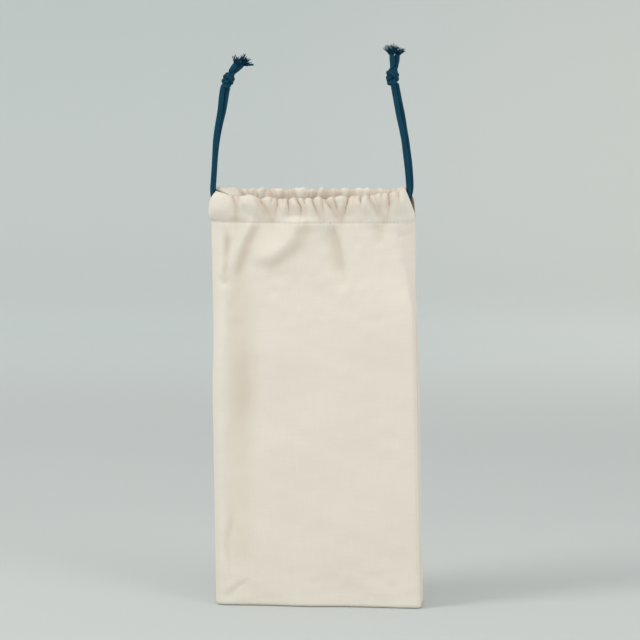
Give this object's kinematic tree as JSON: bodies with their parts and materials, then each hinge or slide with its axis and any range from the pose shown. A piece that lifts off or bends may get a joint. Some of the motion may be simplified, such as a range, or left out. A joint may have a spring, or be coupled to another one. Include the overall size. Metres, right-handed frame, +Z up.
{
  "type": "drawstring bag",
  "caption": "Tall cotton drawstring bag, folded at the foot and gathered at the mouth on knotted cords that leave it at both sides.",
  "frame": {"origin": "middle of the bag's foot, on the surface that it stands on, without the cord ends", "axes": "+X to the bag's right as seen from the front, -Y out of its front, +Z up to the mouth"},
  "size_m": [0.1709, 0.0384, 0.4493],
  "materials": {
    "cloth": "natural unbleached cotton, plain weave, matt",
    "cord": "fine braided cotton cord, dark blue, matt",
    "thread": "off-white sewing thread"
  },
  "bodies": {
    "root": {"bag_cloth": "cloth", "front_casing_thread": "thread", "back_casing_thread": "thread", "left_side_thread": "thread", "right_side_thread": "thread", "left_drawstring": "cord", "right_drawstring": "cord", "left_knot": "cord", "right_knot": "cord", "left_knot_left_tail": "cord", "left_knot_right_tail": "cord", "right_knot_left_tail": "cord", "right_knot_right_tail": "cord"}
  },
  "joints": []
}
